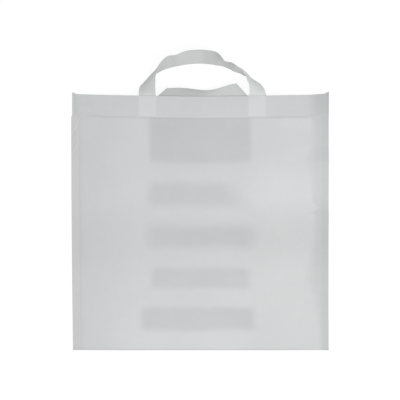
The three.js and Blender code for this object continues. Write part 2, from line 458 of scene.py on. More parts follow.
    def margin(self, x: Array, y: Array) -> Array:
        """Width of the welded margin: narrow beside the hem, and wide below it."""
        below = rising(self.depth(x, y) - self.hem_depth, self.margin_step)
        return between(self.hem_margin, self.side_weld, below)

    def thickness(self, x: Array) -> Array:
        """Thickness of one layer: thinner in the welded margin down each side."""
        welded = rising(self.side_weld - self.edge_distance(x), self.weld_soft)
        return between(self.sheet, self.welded_sheet, welded)

    def layer_step(self, x: Array) -> Array:
        """Distance between the middles of two layers that lie on each other."""
        return self.thickness(x) + self.layer_gap

    def stack(self, x: Array, y: Array) -> Array:
        """Height of the layers at a side: those of the hem, easing to those of the panels below it.

        Args:
            x: Places across.
            y: Places along.

        Returns:
            The height of the top layer's outside.
        """
        below = eased((self.depth(x, y) - self.hem_depth) / self.hem_overlap)
        layers = between(self.hem_layers, self.panel_layers, below)
        welded = rising(self.margin(x, y) - self.edge_distance(x), self.weld_soft)
        return self.floor_gap + layers * (between(self.sheet, self.welded_sheet, welded) + self.layer_gap)

    def crown(self, y: Array) -> Array:
        """Outside height of the slack panel.

        Along the middle it is low at the fold, highest at the belly and lower at the mouth, with a broad
        dip where the bag was once folded in two.

        Args:
            y: Places along.

        Returns:
            The height.
        """
        along = (y - self.bottom_y) / self.length
        belly = between(self.fold_height, self.belly_height, eased(along / self.belly_from))
        middle = between(belly, self.mouth_height, eased((along - self.belly_to) / (1 - self.belly_to)))
        return middle - self.mark_dip * hump(y, self.kink_y, self.mark_spread)

    def climb(self, x: Array, y: Array) -> Array:
        """Share of the crown's height that the front panel reaches.

        It is a quarter of a sine wave in from the left margin times another in from the right crease.

        Args:
            x: Places across.
            y: Places along.

        Returns:
            The share, from 0 to 1.
        """
        from_left = self.half_width - self.margin(x, y) + x
        from_right = read_off(self.right_crease, y) - x
        return quarter_wave(from_left / self.left_slope) * quarter_wave(from_right / self.right_slope)

    def curl(self, x: Array, y: Array) -> Array:
        """Rise of both layers along the right side.

        It is a power of the share of the way from where the curl starts to the edge, times a share of that
        way, which grows towards the corner of the mouth.

        Args:
            x: Places across.
            y: Places along.

        Returns:
            The rise.
        """
        start = read_off(self.right_crease, y)
        way = self.half_width - start
        corner = eased((y - self.bottom_y - self.length) / self.corner_reach + 1)
        steep = self.curl_share + self.corner_share * corner
        return steep * way * np.clip((x - start) / way, 0.0, 1.0) ** self.curl_power

    def curl_shade(self, x: Array, y: Array) -> Array:
        """Mask of the shade that the finish paints on the curled side.

        It eases from 0 to 1 about the edge of the shade, and near the beak it is sharper and deeper.

        Args:
            x: Places across.
            y: Places along.

        Returns:
            The shade.
        """
        beak = hump(y, self.kink_y, self.beak_spread)
        shade = rising(x - read_off(self.shade_edge, y), between(self.shade_soft, self.beak_soft, beak))
        return shade * between(1.0, self.beak_shade, beak)

    def lift(self, x: Array, y: Array) -> Array:
        """Height of the back layer above the floor: the curl on the right and the puckers on the left."""
        return self.curl(x, y) + self.puckers(x, y)

    def waves(self, x: Array, y: Array) -> Array:
        """Broad slack in the panel: the sum of long crossing sine waves.

        Args:
            x: Places across.
            y: Places along.

        Returns:
            The height of the waves.
        """
        return self.wave_height * sum(
            share * np.sin(x / (across * MM) + y / (along * MM) + start)
            for share, across, along, start in self.slack_waves
        )

    def puckers(self, x: Array, y: Array) -> Array:
        """Small slanted ripples in the left margin, strongest a little below the hem.

        A ripple is a sine wave from 0 to 1, its turn strayed by a slower sine wave, under a bell curve
        across the margin and another along the bag.

        Args:
            x: Places across.
            y: Places along.

        Returns:
            The height of the ripples.
        """
        strength = between(self.pucker_least, 1.0, hump(y, self.pucker_y, self.pucker_reach)) * (x < 0)
        middle, spread = self.side_weld * self.pucker_middle, self.side_weld * self.pucker_spread
        turn = 2 * math.pi * (y - self.pucker_slant * x) / self.pucker_pitch
        ripple = (1 + np.sin(turn + np.sin(turn * self.pucker_stray))) / 2
        return self.pucker_height * strength * hump(self.edge_distance(x), middle, spread) * ripple

    def patches(self, x: Array, y: Array, legs: Pair, strip: float) -> Array:
        """1 where the end of a handle strip lies behind the hem, easing to 0 round it.

        Args:
            x: Places across.
            y: Places along.
            legs: Places across of the two legs of each handle.
            strip: Width of the handle strips.

        Returns:
            The share of a patch.
        """
        soft = self.patch_soft
        across = sum(plateau(x, leg - strip / 2, leg + strip / 2, soft) for leg in legs)
        return across * plateau(self.depth(x, y), -soft, self.hem_depth - soft, soft)

    def front_height(self, x: Array, y: Array) -> Array:
        """Outside height of the front panel.

        It climbs from the stack of layers at the sides to the crown, with waves where it is slack, and
        follows the lift of the back layer. The hem is puffed by half a sine wave between the mouth and its
        weld, and dented along the weld and the left crease by bell curves.

        Args:
            x: Places across.
            y: Places along.

        Returns:
            The height.
        """
        depth, climb = self.depth(x, y), self.climb(x, y)
        height = between(self.stack(x, y), self.crown(y), climb) + self.lift(x, y)
        height = height + self.waves(x, y) * climb**2
        puff = np.sin(np.clip(depth / self.hem_depth, 0.0, 1.0) * math.pi)
        height = height + self.hem_puff * puff * climb
        height = height - self.weld_dent * hump(depth, self.hem_depth, self.weld_spread) * climb
        crease = hump(self.edge_distance(x) - self.margin(x, y), 0.0, self.weld_soft)
        return height - self.crease_dent * crease * (x < 0)

    def edge_drift(self, x: Array, y: Array) -> Array:
        """Sideways shift: the drift of the nearer edge, in proportion to the distance from the middle."""
        left, right = (read_off(drift, y) for drift in (self.left_drift, self.right_drift))
        return np.where(x < 0, left, right) * x / self.half_width

    def column_places(self, legs: Pair, strip: float) -> Array:
        """Places across the web, closest at the sides and closer at the edges of the handle patches.

        Args:
            legs: Places across of the two legs of each handle.
            strip: Width of the handle strips.

        Returns:
            The places, from the left to the right.
        """
        leg = (legs[1] - legs[0]) / 2
        crowds = [(leg + side * strip / 2, self.patch_spread, self.patch_crowd) for side in (-1, 1)]
        return spaced(-self.half_width, self.half_width, self.columns, lambda x: (
            crowded(np.abs(x), crowds) + self.side_crowd * eased((np.abs(x) - self.side_from) / self.side_run)
        ))

    def front_shares(self) -> Array:
        """Shares of the way from the fold to the mouth, closer together at each crowd of rows.

        Returns:
            The shares, from 0 to 1.
        """
        places = [(y - self.bottom_y) / self.length for y in (self.kink_y, self.pucker_y)]
        places += [1 - self.hem_depth / self.length, 1.0, 0.0]
        crowds = [(place, *crowd) for place, crowd in zip(places, self.row_crowds)]
        return spaced(0.0, 1.0, self.front_rows, lambda share: crowded(share, crowds))

    def grid(self, legs: Pair, strip: float) -> ClothGrid:
        """Work out the web's middle surface.

        Every row gives a y and a z for each place across. Panels lie half a layer inside the outside height,
        hems one layer further in, the turns at the mouth are half circles between the two, and the bottom
        fold is a half circle from the back panel to the front panel.

        Args:
            legs: Places across of the two legs of each handle.
            strip: Width of the handle strips.

        Returns:
            The grid, with the depth below the mouth, the front outside and the curl's shade as marks.
        """
        x = self.column_places(legs, strip)[None, :]
        thick, step = self.thickness(x), self.layer_step(x)
        mouth = self.mouth_y(x) - step / 2

        def back_z(y: Array) -> Array:
            """Height of the back panel's middle."""
            return self.lift(x, y) + self.floor_gap + thick / 2

        def front_z(y: Array) -> Array:
            """Height of the front panel's middle, raised over the ends of the strips."""
            relief = self.patch_relief * self.patches(x, y, legs, strip)
            return self.front_height(x, y) + relief - thick / 2

        def fold_radius(y: Array) -> Array:
            """Half the distance between the panels."""
            return (front_z(y) - back_z(y)) / 2

        fold_start = self.bottom_y + thick / 2 + fold_radius(self.bottom_y + 0 * x)
        radius = fold_radius(fold_start)
        hem_share = np.linspace(0.0, 1.0, self.hem_rows)[:, None]
        hem_end = mouth - self.hem_depth - self.hem_overlap
        turn = np.linspace(0.0, math.pi, self.turn_rows)[1:-1, None]
        bend = np.linspace(-math.pi / 2, math.pi / 2, self.fold_rows)[1:-1, None]
        front_y = between(fold_start, mouth, self.front_shares()[:, None])
        back_y = between(mouth, fold_start, np.linspace(0.0, 1.0, self.back_rows)[:, None])
        hem_up, hem_down = between(hem_end, mouth, hem_share), between(mouth, hem_end, hem_share)
        turn_y = mouth + step / 2 * np.sin(turn)
        # Each stretch of the web: y, z and how far it is the front's outside.
        stretches = [
            (hem_up, back_z(hem_up) + step, 0.0),
            (turn_y, back_z(mouth) + step / 2 * (1 + np.cos(turn)), 0.0),
            (back_y, back_z(back_y), 0.0),
            (fold_start - radius * np.cos(bend), back_z(fold_start) + radius * (1 + np.sin(bend)), 0.5),
            (front_y, front_z(front_y), 1.0),
            (turn_y, front_z(mouth) - step / 2 * (1 - np.cos(turn)), 1.0),
            (hem_down, front_z(hem_down) - step, 0.0),
        ]
        y = np.concatenate([np.broadcast_to(place, (len(place), x.size)) for place, _, _ in stretches])
        z = np.concatenate([height for _, height, _ in stretches])
        front = np.concatenate([np.full(height.shape, share) for _, height, share in stretches])
        points = np.stack([x + self.edge_drift(x, y), y, z], axis=-1)
        along = run_along(points[:, x.size // 2])
        flat = np.stack(np.broadcast_arrays(x, along[:, None]), axis=-1)
        depth = self.depth(x, y)
        return ClothGrid(points, thick + 0 * z, flat, {
            Mark.DEPTH: (depth, depth),
            Mark.FRONT: (front, 0 * front),
            Mark.SHADE: (front * self.curl_shade(x, y), 0 * front),
        })

    def flat_size(self) -> Pair:
        """Width and length of the flat web: both panels and both hems, and the way round the fold."""
        round_fold = (math.pi / 2 - 1) * self.fold_height
        return 2 * self.half_width, 2 * (self.length + self.hem_depth + self.hem_overlap) + round_fold

    def build(self, legs: Pair, strip: float, material: Material) -> None:
        """Make the web, with the ends of the strips showing through its hems."""
        add_cloth(self.label, self.grid(legs, strip), self.flat_size(), material)


@dataclass
class HandleStrip:
    """What both handle strips share: their cut, and where their legs are welded."""

    bag: BagWeb
    width: float = 30 * MM
    cut_length: float = 330 * MM
    thickness: float = 0.8 * MM
    leg_spacing: float = 192 * MM
    leg_offset: float = 3 * MM
    leg_margin: float = 3 * MM
    weld_gap: float = 0.25 * MM
    floor_gap: float = 0.2 * MM
    across: int = 13

    @property
    def legs(self) -> Pair:
        """Places across of the left and the right leg."""
        return self.leg_offset - self.leg_spacing / 2, self.leg_offset + self.leg_spacing / 2

    @property
    def mouth_y(self) -> float:
        """Edge of the mouth at the legs."""
        return float(self.bag.mouth_y(self.leg_spacing / 2))

    def taken_up(self, bow: Array) -> Array:
        """How much narrower a bow makes the strip: 8 thirds of the bow's square over the width."""
        return 8 / 3 * bow**2 / self.width

    def grid(self, outer: Array, inner: Array, bow: Array) -> ClothGrid:
        """A strip between two edges: each row is a parabola from one to the other, bowed along the normals.

        Args:
            outer: One edge, rows by 3.
            inner: The other edge, rows by 3.
            bow: How far the middle of each row is bowed.

        Returns:
            The strip's grid, with its own width and length as the flat cloth.
        """
        share = np.linspace(0.0, 1.0, self.across)[None, :, None]
        points = between(outer[:, None], inner[:, None], share)
        along = run_along((outer + inner) / 2)
        flat = np.stack(np.broadcast_arrays(share[..., 0] * self.width, along[:, None]), axis=-1)
        grid = ClothGrid(points, np.full(points.shape[:2], self.thickness), flat)
        arch = bow[:, None] * (1 - (2 * share[..., 0] - 1) ** 2)
        grid.points = points + grid.normals() * arch[..., None]
        return grid


@dataclass
class FrontHandle(HandleStrip):
    """The front handle: a loop that lies past the mouth, turned over in a half twist above each leg.

    One edge stays low. It is the outer edge of both legs, passes under the strip at both twists, and is
    the inner edge of the loop between them. The other edge stays raised.
    """

    descent: float = 30 * MM
    spring: float = 1 * MM
    spring_run: float = 4 * MM
    leg_rows: int = 14
    loop_rows: int = 220
    label: PieceLabel = PieceLabel("front_strip", "front_handle", Slot.STRIP, Held.LAID, ("bag_web", "floor"))

    # The loop in plan, from the left leg to the right one, across the bag and past the mouth: a place on its
    # low edge, the place on its raised edge that lies square across the strip, and the bow between them.
    stations: Table = (
        (-108, 0, -78, 0, 0), (-106.5, 14.5, -79, 13.8, 1), (-100.9, 22.2, -78.6, 24.4, 2.5),
        (-90, 33, -78.5, 32, 4), (-79, 39, -77, 37.4, 5), (-72, 42.5, -73.4, 46, 4.5),
        (-66, 45.8, -70.4, 55.4, 3), (-52.5, 50.2, -57.8, 67.8, 1.5), (-38.5, 53.2, -42.7, 70.3, 1),
        (-23.5, 55.8, -25.8, 77.4, 1), (-5.5, 57.2, -6, 79.6, 1), (12.5, 56.5, 12.9, 78.8, 1),
        (26, 54.5, 27.8, 75.3, 1.5), (33.5, 53.4, 36.2, 67.2, 3), (40, 52.2, 42.2, 58.7, 4),
        (50, 48, 54.8, 56.2, 4.5), (59, 43.2, 63.5, 50.4, 4), (69, 40.2, 71.8, 44, 4.5),
        (75.8, 36.6, 76.4, 37, 5), (81.8, 33.9, 79.6, 31.8, 4.5), (90.7, 29.8, 81.5, 25.6, 3),
        (103.4, 22.2, 84.7, 18.9, 1.5), (110.7, 13, 85.5, 10.8, 1), (113.4, 5, 85.6, 4.1, 0.5),
        (114, 0, 84, 0, 0),
    )

    def leg_z(self, x: Array, y: Array) -> Array:
        """Height of a leg's middle where it lies under both layers of the front hem."""
        layers = 2 * self.bag.layer_step(x) + self.weld_gap + self.thickness / 2
        return self.bag.front_height(x, y) + self.bag.patch_relief - layers

    def leg_edges(self, leg: float, side: int) -> tuple[Array, Array]:
        """Edges of one leg inside the hem, from its lower end to the mouth.

        Args:
            leg: Place across of the leg's middle.
            side: -1 for the left leg and 1 for the right one, whose outer edge is on that side.

        Returns:
            The outer edge, which is the low one of the loop, and the inner edge.
        """
        start = self.mouth_y - self.bag.hem_depth + self.leg_margin
        y = np.linspace(start, self.mouth_y, self.leg_rows, endpoint=False)
        z = self.leg_z(np.full_like(y, leg), y)
        outer, inner = (
            np.stack([np.full_like(y, leg + offset), y, z], axis=-1)
            for offset in (side * self.width / 2, -side * self.width / 2)
        )
        return outer, inner

    def loop_edges(self) -> tuple[Array, Array, Array]:
        """Edges and bow of the loop past the mouth.

        In plan both edges follow smooth curves through the stations. The strip keeps its width round its
        bow, and the raised edge stands as high over the low one as the chord between them has left to go.
        The low edge rests on the floor, and rises near the mouth to the leg's height, springing up a little
        as it leaves the hem.

        Returns:
            The low edge, the raised edge and the bow of each row.
        """
        plan = spline(np.array(self.stations) * MM, self.loop_rows)
        low, raised, bow = plan[:, :2], plan[:, 2:4], plan[:, 4]
        across, past = ((low + raised) / 2).T
        chord = self.width - self.taken_up(bow)
        rise = np.sqrt(np.maximum(chord**2 - np.sum((low - raised) ** 2, axis=-1), 0.0))
        rest = self.floor_gap + self.thickness / 2
        near = 1 - eased(past / self.descent)
        leave = self.leg_z(across, 0 * past + self.mouth_y) + self.spring * eased(past / self.spring_run)
        height = between(rest, leave, near)
        mouth = np.array([0.0, self.mouth_y])
        return np.column_stack([low + mouth, height]), np.column_stack([raised + mouth, height + rise]), bow

    def build(self, material: Material) -> None:
        """Make the strip: the left leg, the loop and the right leg in one run.

        Args:
            material: Its finish.
        """
        left, right = (self.leg_edges(leg, side) for leg, side in zip(self.legs, (-1, 1)))
        *loop, bow = self.loop_edges()
        low, raised = (np.concatenate([left[i], loop[i], right[i][::-1]]) for i in range(2))
        grid = self.grid(low, raised, np.pad(bow, self.leg_rows))
        add_cloth(self.label, grid, (self.width, self.cut_length), material)


@dataclass
class BackHandle(HandleStrip):
    """The back handle: slumped into the mouth, with a pleat in each leg and a slanted fold at each end."""

    layer_gap: float = 0.4 * MM
    crossing: int = 3
    sag: float = 8 * MM
    sag_skew: float = 1.35
    arch: float = 5 * MM
    # Shares of the crossing at which it leaves the first fold, lands, lifts again and is back up.
    fall: tuple[float, float, float, float] = (0.0, 0.36, 0.6, 0.84)
    rise_depth: float = 26 * MM
    flat_rows: int = 5
    roll_rows: int = 8
    crossing_rows: int = 70
    label: PieceLabel = PieceLabel("back_strip", "back_handle", Slot.STRIP, Held.FOLDED, ("bag_web",))

    # Places of the folds: across in shares of half the leg spacing, and past the mouth.
    folds: Table = ((-1, -9), (-0.866, -25), (-0.821, -2.7), (0.744, 7.2), (0.684, -23), (0.985, -9))
    # How far the strip is raised at the mouth to lean under the front hem: place across and height.
    rises: Table = (
        (-80, 7.3), (-60, 6.7), (-40, 5.95), (-26, 5.65), (0, 5.9), (20, 6), (36, 6.5), (48, 6.85),
        (80, 6.55),
    )

    @property
    def rest_z(self) -> float:
        """Height of the strip's middle where it lies on both layers of the back hem."""
        layers = 2 * self.bag.sheet + self.bag.layer_gap + self.bag.floor_gap
        return layers + self.weld_gap + self.thickness / 2

    def fallen(self, run: Array) -> Array:
        """1 at shares of the crossing where it has fallen onto the back hem, easing to 0 towards its ends."""
        leave, land, lift, back = self.fall
        return eased((run - leave) / (land - leave)) * eased((back - run) / (back - lift))

    def crossing_edges(self, start: Array, end: Array) -> Array:
        """Rows of the crossing between two fold rows.

        In plan it sags towards the bag by the square of half a sine wave, skewed to the right. Between its
        ends it falls onto the back hem and rises again, and where it arches its lower edge is drawn up, so
        that the strip keeps its width.

        Args:
            start: The two edge points of the first row.
            end: The two edge points of the last row.

        Returns:
            Rows by two edges by 3.
        """
        share = steps(self.crossing_rows)
        rows = between(start, end, share)
        run = share[..., 0]
        rows[..., 1] -= self.sag * np.sin(run**self.sag_skew * math.pi) ** 2
        rows[:, 0, 1] += self.taken_up(self.arch * self.fallen(run[:, 0]))
        rows[..., 2] = between(rows[..., 2], self.rest_z, self.fallen(run))
        return rows

    def arches(self, rows: int) -> Array:
        """Bow of each row: the crossing arches up between its edges where it has fallen.

        Args:
            rows: How many rows the strip has.

        Returns:
            The bow, one for each row.
        """
        first = 1 + self.crossing * (self.flat_rows + self.roll_rows)
        run = (np.arange(rows) - first + 1) / self.crossing_rows
        return -self.arch * self.fallen(run)

    def raised(self, points: Array) -> Array:
        """Lift the strip out of the mouth, by its rise at each place across and by an ease along the bag.

        Args:
            points: The strip's points.

        Returns:
            The lifted points.
        """
        x, y, z = np.moveaxis(points, -1, 0)
        out = eased((y - self.mouth_y) / self.rise_depth + 1)
        return np.stack([x, y, z + out * read_off(self.rises, x)], axis=-1)

    def edges(self) -> Array:
        """Edge points of the flat-folded strip, row by row.

        The strip follows a route in plan. Each fold is a mirror line between the two directions that meet
        there, and the strip rolls round it in a half circle from one layer to the next.

        Returns:
            Rows by two edges by 3.
        """
        end = (self.leg_margin - self.bag.hem_depth) / MM
        places = np.array([(-1, end), *self.folds, (1, end)])
        route = places * (self.leg_spacing / 2, MM) + (self.leg_offset, self.mouth_y)
        heading = np.diff(route, axis=0)
        heading /= np.linalg.norm(heading, axis=-1, keepdims=True)
        radius = (self.thickness + self.layer_gap) / 2
        turn = np.linspace(0.0, math.pi, self.roll_rows + 1)[1:]
        z, face = self.rest_z, 1.0

        def rows_at(place: Array, line: Array, reach: float, height: Array | float) -> Array:
            """Rows of two edge points, a reach either way along the line from each place, at its height."""
            plan = np.atleast_2d(place)[:, None] + line * np.array([[reach], [-reach]])
            return np.dstack([plan, np.broadcast_to(np.reshape(height, (-1, 1)), plan.shape[:2])])

        def end_rows(stop: int) -> Array:
            """The row square across the strip at the first or the last place of its route."""
            ahead = heading[stop]
            return rows_at(route[stop], np.array([-ahead[1], ahead[0]]), self.width / 2, z)

        rows = [end_rows(0)]
        for fold, (before, after) in enumerate(zip(heading[:-1], heading[1:]), start=1):
            mirror = (before + after) / np.linalg.norm(before + after)
            outward = (before - after) / np.linalg.norm(before - after)
            reach = face * self.width / 2 / (before[0] * mirror[1] - before[1] * mirror[0])
            fold_row = rows_at(route[fold], mirror, reach, z)
            if fold == self.crossing + 1:
                rows.append(self.crossing_edges(rows[-1][-1], fold_row))
            else:
                rows.append(between(rows[-1][-1], fold_row, steps(self.flat_rows)))
            rise = radius if fold <= self.crossing else -radius
            rolled = route[fold] + outward * radius * np.sin(turn)[:, None]
            rows.append(rows_at(rolled, mirror, reach, z + rise * (1 - np.cos(turn))))
            z += 2 * rise
            face = -face
        rows.append(between(rows[-1][-1], end_rows(-1), steps(self.flat_rows)))
        return np.concatenate(rows)

    def build(self, material: Material) -> None:
        """Make the strip from end to end.

        Args:
            material: Its finish.
        """
        rows = self.edges()
        grid = self.grid(rows[:, 0], rows[:, 1], self.arches(len(rows)))
        grid.points = self.raised(grid.points)
        add_cloth(self.label, grid, (self.width, self.cut_length), material)


@dataclass
class Sketch:
    """A node tree under construction, with short ways to add and join its nodes."""

    tree: NodeTree

    def feed(self, socket: NodeSocket, source: object) -> None:
        """Join a socket to another one, or set its value.

        Args:
            socket: The socket to feed.
            source: Another socket, or a value.
        """
        if isinstance(source, NodeSocket):
            self.tree.links.new(source, socket)
        else:
            socket.default_value = source

    def add(self, kind: str, settings: dict[str, object] | None = None, **inputs: object) -> Node:
        """Add a node.

        Args:
            kind: Blender's name of the node type.
            settings: Its own properties.
            inputs: Sources or values for its inputs, by name with _ for a space.

        Returns:
            The node.
        """
        node = self.tree.nodes.new(kind)
        for name, value in (settings or {}).items():
            setattr(node, name, value)
        for name, source in inputs.items():
            self.feed(node.inputs[name.replace("_", " ")], source)
        return node

    def math(self, operation: str, *sources: object) -> NodeSocket:
        """Add a Math node.

        Args:
            operation: What it works out.
            sources: Sources or values for its inputs, in order.

        Returns:
            Its result.
        """
        node = self.add("ShaderNodeMath", {"operation": operation})
        for socket, source in zip(node.inputs, sources):
            self.feed(socket, source)
        return node.outputs[0]

    def vector(self, operation: str, first: object, second: object) -> NodeSocket:
        """Add a Vector Math node.

        Args:
            operation: What it works out.
            first: Source or value of its first vector.
            second: Source or value of its second vector, or of its scale.

        Returns:
            Its result.
        """
        node = self.add("ShaderNodeVectorMath", {"operation": operation})
        self.feed(node.inputs[0], first)
        self.feed(node.inputs["Scale" if operation == "SCALE" else 1], second)
        return node.outputs[0]

    def ease(self, value: object, low: object, high: object) -> NodeSocket:
        """Add a Map Range node that eases from 0 at low to 1 at high.

        Args:
            value: Source of the value.
            low: Source or value of the low end.
            high: Source or value of the high end.

        Returns:
            Its result.
        """
        settings = {"interpolation_type": "SMOOTHSTEP"}
        node = self.add("ShaderNodeMapRange", settings, Value=value, From_Min=low, From_Max=high)
        return node.outputs["Result"]

    def group(self, tree: NodeTree, **inputs: object) -> Node:
        """Place a node group with its inputs."""
        return self.add("ShaderNodeGroup", {"node_tree": tree}, **inputs)

    def mark(self, mark: Mark) -> NodeSocket:
        """Read a mark from the cloth's vertices."""
        return self.add("ShaderNodeAttribute", {"attribute_name": mark.value}).outputs["Fac"]

    def noise(self, place: NodeSocket, **inputs: object) -> bpy.types.NodeOutputs:
        """Add a Noise Texture node on a place."""
        return self.add("ShaderNodeTexNoise", Vector=place, **inputs).outputs

    def split(self, vector: NodeSocket) -> bpy.types.NodeOutputs:
        """Add a Separate XYZ node on a vector."""
        return self.add("ShaderNodeSeparateXYZ", Vector=vector).outputs


def new_group(name: str, inputs: dict[str, Socket],
              *outputs: str) -> tuple[Sketch, dict[str, NodeSocket], Node]:
    """Start a shader node group.

    Args:
        name: Name of the group.
        inputs: Its inputs, by name.
        outputs: Names of its outputs, which are numbers.

    Returns:
        The sketch of its tree, its inputs' sockets by name, and its output node.
    """
    tree = bpy.data.node_groups.new(name, "ShaderNodeTree")
    for label, kind in inputs.items():
        tree.interface.new_socket(label, in_out="INPUT", socket_type=kind.value)
    for label in outputs:
        tree.interface.new_socket(label, in_out="OUTPUT", socket_type=Socket.NUMBER.value)
    sketch = Sketch(tree)
    entry = sketch.add("NodeGroupInput")
    return sketch, {label: entry.outputs[label] for label in inputs}, sketch.add("NodeGroupOutput")


@dataclass
class ClothEffects:
    """Node groups that the cloths share, each built once."""

    bond_edge: Pair = (0.35, 0.9)
    cloud_scales: Pair = (90.0, 20.0)
    cloud_detail: float = 4.0
    cloud_roughness: float = 0.6
    strand_slants: Pair = (math.radians(32), math.radians(-41))
    strand_scale: tuple[float, float, float] = (4200.0, 260.0, 1.0)
    strand_detail: float = 2.0

    soft_band: NodeTree = field(init=False)
    soft_field: NodeTree = field(init=False)
    bond_points: NodeTree = field(init=False)
    fibre_web: NodeTree = field(init=False)

    def __post_init__(self) -> None:
        """Build the groups, the band first because the field uses it."""
        self.soft_band = self.make_soft_band()
        self.soft_field = self.make_soft_field()
        self.bond_points = self.make_bond_points()
        self.fibre_web = self.make_fibre_web()

    def band(self, sketch: Sketch, value: object, low: object, high: object, soft: object) -> NodeSocket:
        """Place the mask of a band in a node tree."""
        return sketch.group(self.soft_band, Value=value, Low=low, High=high, Soft=soft).outputs["Mask"]

    def make_soft_band(self) -> NodeTree:
        """Mask of a band: 1 between Low and High, easing to 0 over Soft about each.

        Returns:
            The group.
        """
        numbers = {name: Socket.NUMBER for name in ("Value", "Low", "High", "Soft")}
        sketch, given, result = new_group("soft_band", numbers, "Mask")
        half = sketch.math("MULTIPLY", given["Soft"], 0.5)
        edges = []
        for name in ("Low", "High"):
            start, end = (sketch.math(operation, given[name], half) for operation in ("SUBTRACT", "ADD"))
            edges.append(sketch.ease(given["Value"], start, end))
        sketch.feed(result.inputs["Mask"], sketch.math("SUBTRACT", *edges))
        return sketch.tree

    def make_soft_field(self) -> NodeTree:
        """Mask of a rectangle with soft sides.

        It is the product of a band along, an ease in at the left and an ease out at the right. Soft, Start
        and Fade are the widths of the three, and Slant moves the last by a share of the height above the
        middle.

        Returns:
            The group.
        """
        inputs = {"Place": Socket.VECTOR}
        numbers = ("Left", "Right", "Bottom", "Top", "Soft", "Start", "Fade", "Slant")
        inputs |= {name: Socket.NUMBER for name in numbers}
        sketch, given, result = new_group("soft_field", inputs, "Mask")
        place = sketch.split(given["Place"])
        middle = sketch.math("MULTIPLY", sketch.math("ADD", given["Bottom"], given["Top"]), 0.5)
        above = sketch.math("SUBTRACT", place["Y"], middle)
        slanted = sketch.math("MULTIPLY_ADD", above, given["Slant"], place["X"])
        mask = self.band(sketch, place["Y"], given["Bottom"], given["Top"], given["Soft"])
        sides = ((place["X"], given["Left"], FAR_OFF, "Start"), (slanted, -FAR_OFF, given["Right"], "Fade"))
        for value, low, high, soft in sides:
            mask = sketch.math("MULTIPLY", mask, self.band(sketch, value, low, high, given[soft]))
        sketch.feed(result.inputs["Mask"], mask)
        return sketch.tree

    def make_bond_points(self) -> NodeTree:
        """Staggered bond points: the peaks of one cosine across times another along, a Pitch apart.

        Returns:
            The group.
        """
        inputs = {"Place": Socket.VECTOR, "Pitch": Socket.NUMBER}
        sketch, given, result = new_group("bond_points", inputs, "Dent")
        place = sketch.split(given["Place"])
        turn = sketch.math("DIVIDE", math.sqrt(2) * math.pi, given["Pitch"])
        waves = [sketch.math("COSINE", sketch.math("MULTIPLY", place[axis], turn)) for axis in ("X", "Y")]
        dent = sketch.ease(sketch.math("MULTIPLY", *waves), *self.bond_edge)
        sketch.feed(result.inputs["Dent"], dent)
        return sketch.tree

    def make_fibre_web(self) -> NodeTree:
        """The laid fibres.

        Cloud is the uneven density of the web, as the mean of a fine and a broad noise, and Strand is two
        slanted sets of streaks.

        Returns:
            The group.
        """
        sketch, given, result = new_group("fibre_web", {"Place": Socket.VECTOR}, "Cloud", "Strand")
        place = given["Place"]
        clouds = [
            sketch.noise(place, Scale=scale, Detail=self.cloud_detail, Roughness=self.cloud_roughness)["Fac"]
            for scale in self.cloud_scales
        ]
        sketch.feed(result.inputs["Cloud"], sketch.math("MULTIPLY", sketch.math("ADD", *clouds), 0.5))
        streaks = []
        for slant in self.strand_slants:
            turned = sketch.add("ShaderNodeMapping", Vector=place, Rotation=(0.0, 0.0, slant),
                                Scale=self.strand_scale)
            noise = sketch.noise(turned.outputs["Vector"], Scale=1.0, Detail=self.strand_detail)
            streaks.append(noise["Fac"])
        sketch.feed(result.inputs["Strand"], sketch.math("MAXIMUM", *streaks))
        return sketch.tree


@dataclass(frozen=True)
class ToneField:
    """A plain rectangular field of another tone on a cloth, in millimetres.

    Attributes:
        left: Its left side.
        right: Its right side.
        bottom: Its bottom.
        top: Its top.
        share: Share by which it changes the tone.
        soft: Width over which its bottom and top ease.
        start: Width over which its left side eases.
        fade: Width over which its right side eases.
        slant: How far the right side leans, as a share of the height.
    """

    left: float
    right: float
    bottom: float
    top: float
    share: float
    soft: float
    start: float = 1
    fade: float = 1
    slant: float = 0.0

    def mask(self, sketch: Sketch, effects: ClothEffects, place: NodeSocket) -> NodeSocket:
        """Place the shared mask of a soft rectangle with the field's own measures, in metres.

        Args:
            sketch: The node tree to place it in.
            effects: The shared node groups.
            place: Place on which the field lies.

        Returns:
            The mask.
        """
        return sketch.group(
            effects.soft_field, Place=place, Left=self.left * MM, Right=self.right * MM,
            Bottom=self.bottom * MM, Top=self.top * MM, Soft=self.soft * MM, Start=self.start * MM,
            Fade=self.fade * MM, Slant=self.slant,
        ).outputs["Mask"]


def painted_band(bottom: float, top: float, share: float, soft: float) -> ToneField:
    """A band of painted light or shade over the whole width of a cloth, in millimetres."""
    return ToneField(-FAR, FAR, bottom, top, share, soft)


